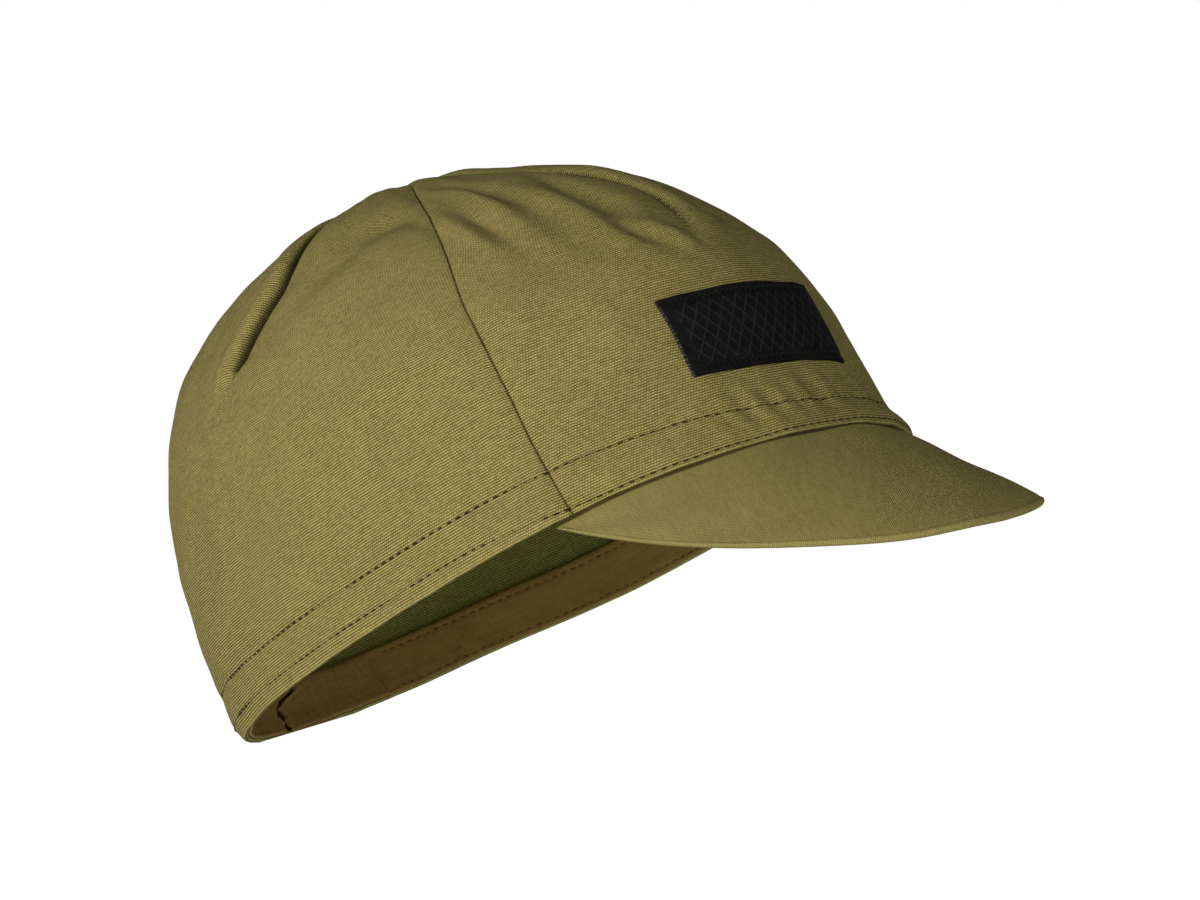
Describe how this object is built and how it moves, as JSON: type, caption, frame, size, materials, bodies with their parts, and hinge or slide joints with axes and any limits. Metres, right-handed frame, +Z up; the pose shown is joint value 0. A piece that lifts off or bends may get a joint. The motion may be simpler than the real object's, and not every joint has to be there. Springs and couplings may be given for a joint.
{
  "type": "cycling cap",
  "caption": "Soft cotton cycling cap with a panelled crown, short drooped brim, inner sweatband, back elastic and a plain front label.",
  "frame": {"origin": "bottom centre of the cap as it stands on the back of its rim and the front of its brim", "axes": "+Z up from the surface, +Y towards the back of the head, +X towards the wearer's left"},
  "size_m": [0.1544, 0.2426, 0.1241],
  "materials": {
    "crown_front_cloth": "matte olive cotton canvas, plain weave",
    "crown_back_cloth": "matte olive cotton canvas, plain weave",
    "brim_cloth": "matte olive cotton over a stiff core",
    "sweatband_cloth": "matte brown cotton tape",
    "elastic_cloth": "matte brown cotton casing, gathered",
    "label_cloth": "black woven label with a low relief"
  },
  "bodies": {
    "root": {"crown_front": "crown_front_cloth", "crown_back": "crown_back_cloth", "brim": "brim_cloth", "sweatband": "sweatband_cloth", "elastic_band": "elastic_cloth", "label": "label_cloth"}
  },
  "joints": []
}
